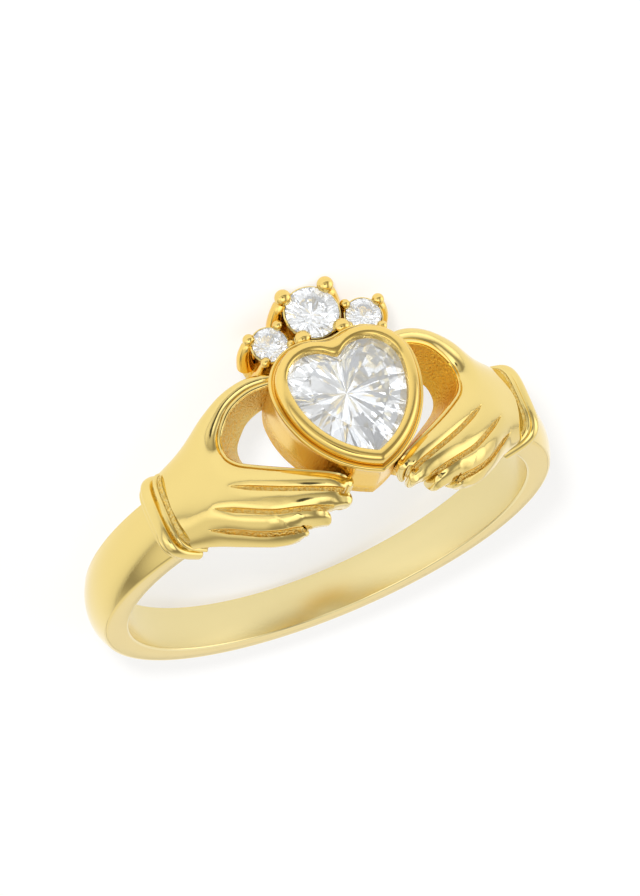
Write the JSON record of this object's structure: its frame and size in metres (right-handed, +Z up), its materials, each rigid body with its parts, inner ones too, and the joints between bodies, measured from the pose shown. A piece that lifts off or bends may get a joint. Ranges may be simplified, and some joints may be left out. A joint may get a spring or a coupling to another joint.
{
  "type": "claddagh ring",
  "caption": "Finger ring with cuffed hands that hold a heart-shaped stone in a bezel, below a crown of round prong-set stones.",
  "frame": {"origin": "bottom centre of the bounding box, on the surface that the ring lies on", "axes": "+Z up, square to that surface. The ring lies on its side, with its crown down: +Y runs from the heart to the back of the band, and +X is on the right of someone who looks along +Y at the heart, where the ring's own left hand is."},
  "size_m": [0.02, 0.0222, 0.0087],
  "materials": {
    "gold": "polished yellow gold plating on silver",
    "stone": "clear cubic zirconia, faceted and polished"
  },
  "bodies": {
    "root": {"ring_body": "gold", "heart_stone": "stone", "crown_stone_middle": "stone", "crown_stone_left": "stone", "crown_stone_right": "stone"}
  },
  "joints": []
}
